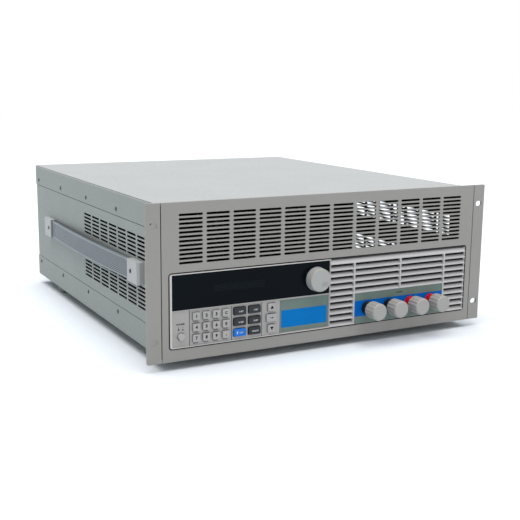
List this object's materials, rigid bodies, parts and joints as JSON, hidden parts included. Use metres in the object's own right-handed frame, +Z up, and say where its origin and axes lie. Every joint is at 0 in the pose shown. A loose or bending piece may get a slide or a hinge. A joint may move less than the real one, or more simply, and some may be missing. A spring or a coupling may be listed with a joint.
{
  "type": "dc electronic load",
  "caption": "Rack-mount DC electronic load: sheet-metal case with vent slots and strap handles, control fascia with keys, knob and display, louvred grille and hand-screw input terminals.",
  "frame": {"origin": "on the floor under the middle of the part's box, from the terminal caps' faces to the rear connector's face", "axes": "+X to the right seen from the front, +Y to the rear, +Z up"},
  "size_m": [0.4826, 0.5596, 0.194],
  "materials": {
    "panel_paint": "fine-textured paint",
    "case_paint": "fine-textured paint",
    "cover_paint": "fine-textured paint",
    "foot_rubber": "matt",
    "screw_steel": "zinc plated",
    "knob_plastic": "satin",
    "strap_plastic": "ribbed, satin",
    "fascia_plastic": "satin",
    "key_grey": "satin",
    "key_dark": "satin",
    "key_blue": "satin",
    "window_tint": "dark tinted, polished",
    "filter_foam": "open-cell foam",
    "silicone": "matt",
    "board_green": "solder mask",
    "black_plastic": "satin",
    "red_plastic": "satin",
    "stud_brass": "plain",
    "bar_copper": "plain copper",
    "sink_aluminium": "as extruded",
    "winding": "wound core under tape"
  },
  "bodies": {
    "root": {"front_panel": "panel_paint", "rack_ears": "panel_paint", "side_panels": "case_paint", "rear_panel": "case_paint", "top_cover": "cover_paint", "bottom_cover": "case_paint", "feet": "foot_rubber", "case_screws": "screw_steel", "handle_caps": "knob_plastic", "handle_straps": "strap_plastic", "front_bezel": "fascia_plastic", "louvre_grille": "fascia_plastic", "display_window": "window_tint", "air_filter": "filter_foam", "keypad_mat": "silicone", "front_board": "board_green", "power_switch": "black_plastic", "terminal_posts": "stud_brass", "black_collars": "black_plastic", "red_collars": "red_plastic", "busbars": "bar_copper", "heat_sinks": "sink_aluminium", "power_boards": "board_green", "fan_frames": "black_plastic", "control_board": "board_green", "transformer": "winding", "mains_inlet": "black_plastic"},
    "key_1": {"key_1": "key_grey"},
    "key_2": {"key_2": "key_grey"},
    "key_3": {"key_3": "key_grey"},
    "key_escape": {"key_escape": "key_grey"},
    "key_4": {"key_4": "key_grey"},
    "key_5": {"key_5": "key_grey"},
    "key_6": {"key_6": "key_grey"},
    "key_0": {"key_0": "key_grey"},
    "key_7": {"key_7": "key_grey"},
    "key_8": {"key_8": "key_grey"},
    "key_9": {"key_9": "key_grey"},
    "key_point": {"key_point": "key_grey"},
    "key_amps": {"key_amps": "key_dark"},
    "key_volts": {"key_volts": "key_dark"},
    "key_watts": {"key_watts": "key_dark"},
    "key_ohms": {"key_ohms": "key_dark"},
    "key_shift": {"key_shift": "key_blue"},
    "key_on_off": {"key_on_off": "key_dark"},
    "key_up": {"key_up": "key_grey"},
    "key_enter": {"key_enter": "key_grey"},
    "key_down": {"key_down": "key_grey"},
    "power_button": {"power_button": "fascia_plastic"},
    "encoder_knob": {"encoder_knob": "knob_plastic"},
    "terminal_washer_1": {"terminal_washer_1": "screw_steel"},
    "terminal_cap_1": {"terminal_cap_1": "knob_plastic"},
    "terminal_washer_2": {"terminal_washer_2": "screw_steel"},
    "terminal_cap_2": {"terminal_cap_2": "knob_plastic"},
    "terminal_washer_3": {"terminal_washer_3": "screw_steel"},
    "terminal_cap_3": {"terminal_cap_3": "knob_plastic"},
    "terminal_washer_4": {"terminal_washer_4": "screw_steel"},
    "terminal_cap_4": {"terminal_cap_4": "knob_plastic"},
    "fan_rotor_left": {"fan_rotor_left": "black_plastic"},
    "fan_rotor_right": {"fan_rotor_right": "black_plastic"}
  },
  "joints": [
    {"name": "key_1_press", "type": "slide", "parent": "root", "child": "key_1", "axis": [0, 1, 0], "range_m": [0, 0.0012], "stiffness_N_per_m": 400},
    {"name": "key_2_press", "type": "slide", "parent": "root", "child": "key_2", "axis": [0, 1, 0], "range_m": [0, 0.0012], "stiffness_N_per_m": 400},
    {"name": "key_3_press", "type": "slide", "parent": "root", "child": "key_3", "axis": [0, 1, 0], "range_m": [0, 0.0012], "stiffness_N_per_m": 400},
    {"name": "key_escape_press", "type": "slide", "parent": "root", "child": "key_escape", "axis": [0, 1, 0], "range_m": [0, 0.0012], "stiffness_N_per_m": 400},
    {"name": "key_4_press", "type": "slide", "parent": "root", "child": "key_4", "axis": [0, 1, 0], "range_m": [0, 0.0012], "stiffness_N_per_m": 400},
    {"name": "key_5_press", "type": "slide", "parent": "root", "child": "key_5", "axis": [0, 1, 0], "range_m": [0, 0.0012], "stiffness_N_per_m": 400},
    {"name": "key_6_press", "type": "slide", "parent": "root", "child": "key_6", "axis": [0, 1, 0], "range_m": [0, 0.0012], "stiffness_N_per_m": 400},
    {"name": "key_0_press", "type": "slide", "parent": "root", "child": "key_0", "axis": [0, 1, 0], "range_m": [0, 0.0012], "stiffness_N_per_m": 400},
    {"name": "key_7_press", "type": "slide", "parent": "root", "child": "key_7", "axis": [0, 1, 0], "range_m": [0, 0.0012], "stiffness_N_per_m": 400},
    {"name": "key_8_press", "type": "slide", "parent": "root", "child": "key_8", "axis": [0, 1, 0], "range_m": [0, 0.0012], "stiffness_N_per_m": 400},
    {"name": "key_9_press", "type": "slide", "parent": "root", "child": "key_9", "axis": [0, 1, 0], "range_m": [0, 0.0012], "stiffness_N_per_m": 400},
    {"name": "key_point_press", "type": "slide", "parent": "root", "child": "key_point", "axis": [0, 1, 0], "range_m": [0, 0.0012], "stiffness_N_per_m": 400},
    {"name": "key_amps_press", "type": "slide", "parent": "root", "child": "key_amps", "axis": [0, 1, 0], "range_m": [0, 0.0012], "stiffness_N_per_m": 400},
    {"name": "key_volts_press", "type": "slide", "parent": "root", "child": "key_volts", "axis": [0, 1, 0], "range_m": [0, 0.0012], "stiffness_N_per_m": 400},
    {"name": "key_watts_press", "type": "slide", "parent": "root", "child": "key_watts", "axis": [0, 1, 0], "range_m": [0, 0.0012], "stiffness_N_per_m": 400},
    {"name": "key_ohms_press", "type": "slide", "parent": "root", "child": "key_ohms", "axis": [0, 1, 0], "range_m": [0, 0.0012], "stiffness_N_per_m": 400},
    {"name": "key_shift_press", "type": "slide", "parent": "root", "child": "key_shift", "axis": [0, 1, 0], "range_m": [0, 0.0012], "stiffness_N_per_m": 400},
    {"name": "key_on_off_press", "type": "slide", "parent": "root", "child": "key_on_off", "axis": [0, 1, 0], "range_m": [0, 0.0012], "stiffness_N_per_m": 400},
    {"name": "key_up_press", "type": "slide", "parent": "root", "child": "key_up", "axis": [0, 1, 0], "range_m": [0, 0.0012], "stiffness_N_per_m": 400},
    {"name": "key_enter_press", "type": "slide", "parent": "root", "child": "key_enter", "axis": [0, 1, 0], "range_m": [0, 0.0012], "stiffness_N_per_m": 400},
    {"name": "key_down_press", "type": "slide", "parent": "root", "child": "key_down", "axis": [0, 1, 0], "range_m": [0, 0.0012], "stiffness_N_per_m": 400},
    {"name": "power_press", "type": "slide", "parent": "root", "child": "power_button", "axis": [0, 1, 0], "range_m": [0, 0.0032], "stiffness_N_per_m": 500},
    {"name": "encoder_turn", "type": "hinge", "parent": "root", "child": "encoder_knob", "pos_m": [-0.0205, -0.2508, 0.09025], "axis": [0, 1, 0], "continuous": true},
    {"name": "terminal_1_lift", "type": "slide", "parent": "root", "child": "terminal_washer_1", "axis": [0, -1, 0], "range_m": [0, 0.0075]},
    {"name": "terminal_1_turn", "type": "hinge", "parent": "terminal_washer_1", "child": "terminal_cap_1", "pos_m": [0.05655, -0.2508, 0.0452], "axis": [0, -1, 0], "range_deg": [0, 2160]},
    {"name": "terminal_2_lift", "type": "slide", "parent": "root", "child": "terminal_washer_2", "axis": [0, -1, 0], "range_m": [0, 0.0075]},
    {"name": "terminal_2_turn", "type": "hinge", "parent": "terminal_washer_2", "child": "terminal_cap_2", "pos_m": [0.09005, -0.2508, 0.0452], "axis": [0, -1, 0], "range_deg": [0, 2160]},
    {"name": "terminal_3_lift", "type": "slide", "parent": "root", "child": "terminal_washer_3", "axis": [0, -1, 0], "range_m": [0, 0.0075]},
    {"name": "terminal_3_turn", "type": "hinge", "parent": "terminal_washer_3", "child": "terminal_cap_3", "pos_m": [0.12355, -0.2508, 0.0452], "axis": [0, -1, 0], "range_deg": [0, 2160]},
    {"name": "terminal_4_lift", "type": "slide", "parent": "root", "child": "terminal_washer_4", "axis": [0, -1, 0], "range_m": [0, 0.0075]},
    {"name": "terminal_4_turn", "type": "hinge", "parent": "terminal_washer_4", "child": "terminal_cap_4", "pos_m": [0.15705, -0.2508, 0.0452], "axis": [0, -1, 0], "range_deg": [0, 2160]},
    {"name": "fan_left_spin", "type": "hinge", "parent": "root", "child": "fan_rotor_left", "pos_m": [-0.079, 0.0492, 0.1025], "axis": [0, 1, 0], "continuous": true},
    {"name": "fan_right_spin", "type": "hinge", "parent": "root", "child": "fan_rotor_right", "pos_m": [0.079, 0.0492, 0.1025], "axis": [0, 1, 0], "continuous": true}
  ],
  "couplings": [
    {"joint": "terminal_1_turn", "follows": "terminal_1_lift", "rad_per_m": 5026.5},
    {"joint": "terminal_2_turn", "follows": "terminal_2_lift", "rad_per_m": 5026.5},
    {"joint": "terminal_3_turn", "follows": "terminal_3_lift", "rad_per_m": 5026.5},
    {"joint": "terminal_4_turn", "follows": "terminal_4_lift", "rad_per_m": 5026.5}
  ]
}
